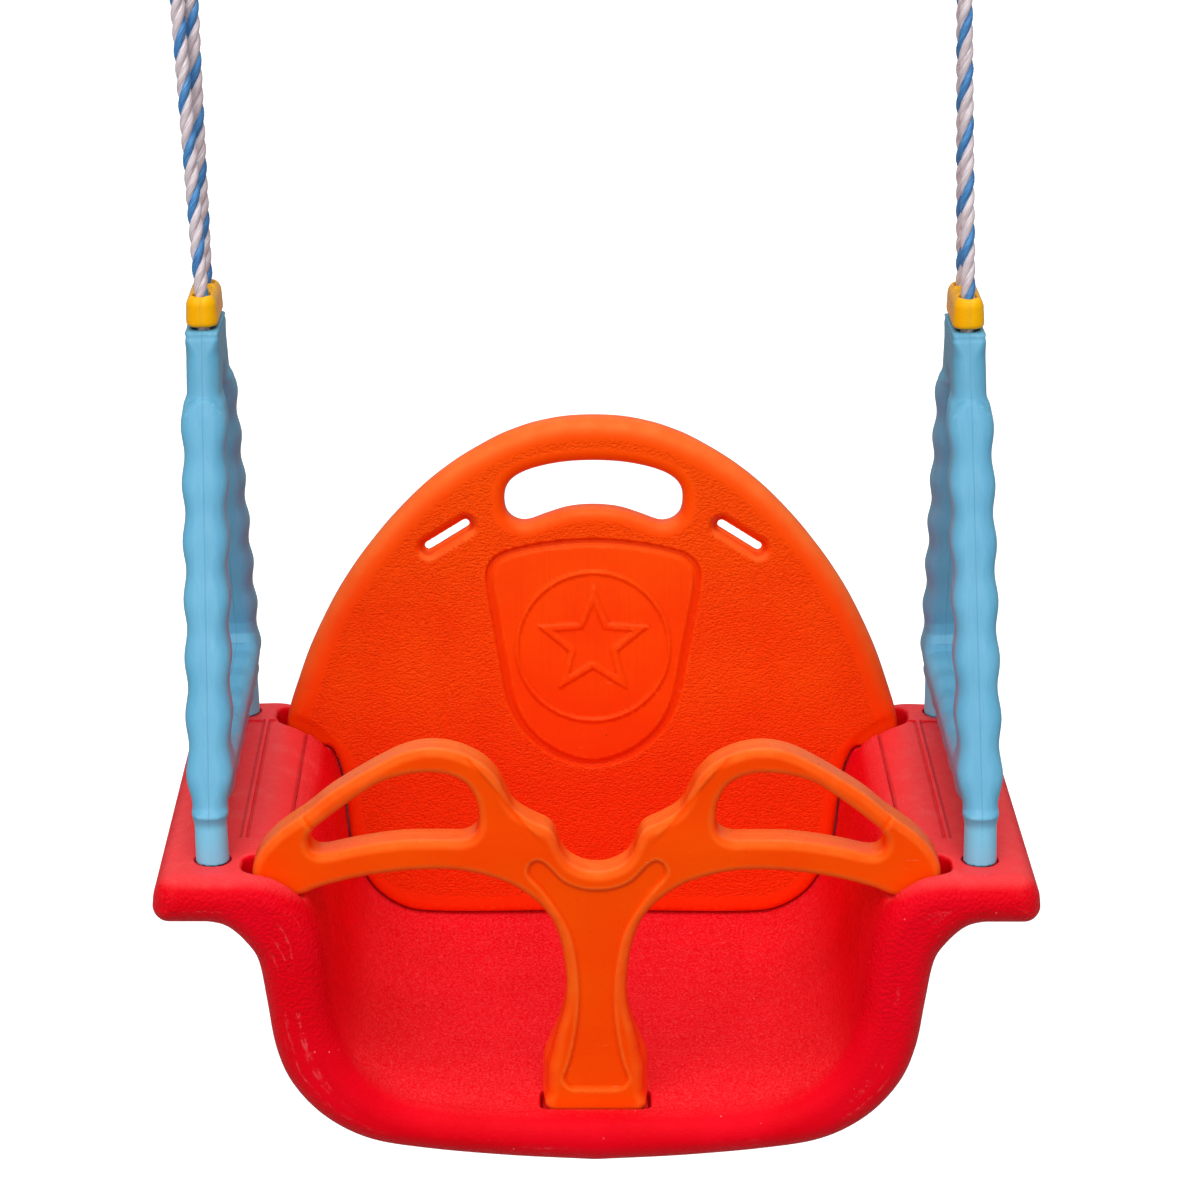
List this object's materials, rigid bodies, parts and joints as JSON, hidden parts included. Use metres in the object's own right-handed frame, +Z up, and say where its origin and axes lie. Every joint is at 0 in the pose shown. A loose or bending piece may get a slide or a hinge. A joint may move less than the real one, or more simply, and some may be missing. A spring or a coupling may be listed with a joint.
{
  "type": "toddler bucket swing",
  "caption": "Bucket seat with drop-in backrest and loop-handled front guard, hung on ropes that run down hollow A-shaped side frames.",
  "frame": {"origin": "the hanging point: the seat's centre plane at the height of the ropes' upper ends, which are the held ends; the flange plane of the seat is 0.440 m below it", "axes": "+Z up, the seat's front and its guard face -Y, +X is the right-hand side seen from the front"},
  "size_m": [0.467, 0.2778, 0.605],
  "materials": {
    "seat_red": "satin",
    "backrest_orange": "satin",
    "guard_orange": "satin",
    "frame_blue": "satin",
    "guide_yellow": "gloss",
    "rope_fibre": "satin"
  },
  "bodies": {
    "rope_tops": {"rope_end_left_front": "rope_fibre", "rope_end_left_rear": "rope_fibre", "rope_end_right_front": "rope_fibre", "rope_end_right_rear": "rope_fibre"},
    "swing_seat": {"seat": "seat_red", "rope_left": "rope_fibre", "rope_right": "rope_fibre"},
    "backrest": {"backrest": "backrest_orange"},
    "front_guard": {"front_guard": "guard_orange"},
    "side_frame_left": {"side_frame_left": "frame_blue"},
    "side_frame_right": {"side_frame_right": "frame_blue"},
    "rope_guide_left": {"rope_guide_left": "guide_yellow"},
    "rope_guide_right": {"rope_guide_right": "guide_yellow"}
  },
  "joints": [
    {"name": "swing", "type": "hinge", "parent": "rope_tops", "child": "swing_seat", "pos_m": [0, 0.0175, -0.012], "axis": [1, 0, 0], "range_deg": [-40, 40], "deforming": ["rope_left", "rope_right"]},
    {"name": "backrest_lift", "type": "slide", "parent": "swing_seat", "child": "backrest", "axis": [0, 0.0958, 0.9954], "range_m": [0, 0.2]},
    {"name": "guard_lift", "type": "slide", "parent": "swing_seat", "child": "front_guard", "axis": [0, 0, 1], "range_m": [0, 0.2]},
    {"name": "frame_slide_left", "type": "slide", "parent": "swing_seat", "child": "side_frame_left", "axis": [-0.0236, 0, 0.9997], "range_m": [0, 0.012], "deforming": ["rope_left"]},
    {"name": "guide_slide_left", "type": "slide", "parent": "side_frame_left", "child": "rope_guide_left", "axis": [-0.0452, 0.0793, 0.9958], "range_m": [0, 0.02], "deforming": ["rope_left"]},
    {"name": "frame_slide_right", "type": "slide", "parent": "swing_seat", "child": "side_frame_right", "axis": [-0.0236, 0, 0.9997], "range_m": [0, 0.012], "deforming": ["rope_right"]},
    {"name": "guide_slide_right", "type": "slide", "parent": "side_frame_right", "child": "rope_guide_right", "axis": [-0.0326, 0.0793, 0.9963], "range_m": [0, 0.02], "deforming": ["rope_right"]}
  ]
}
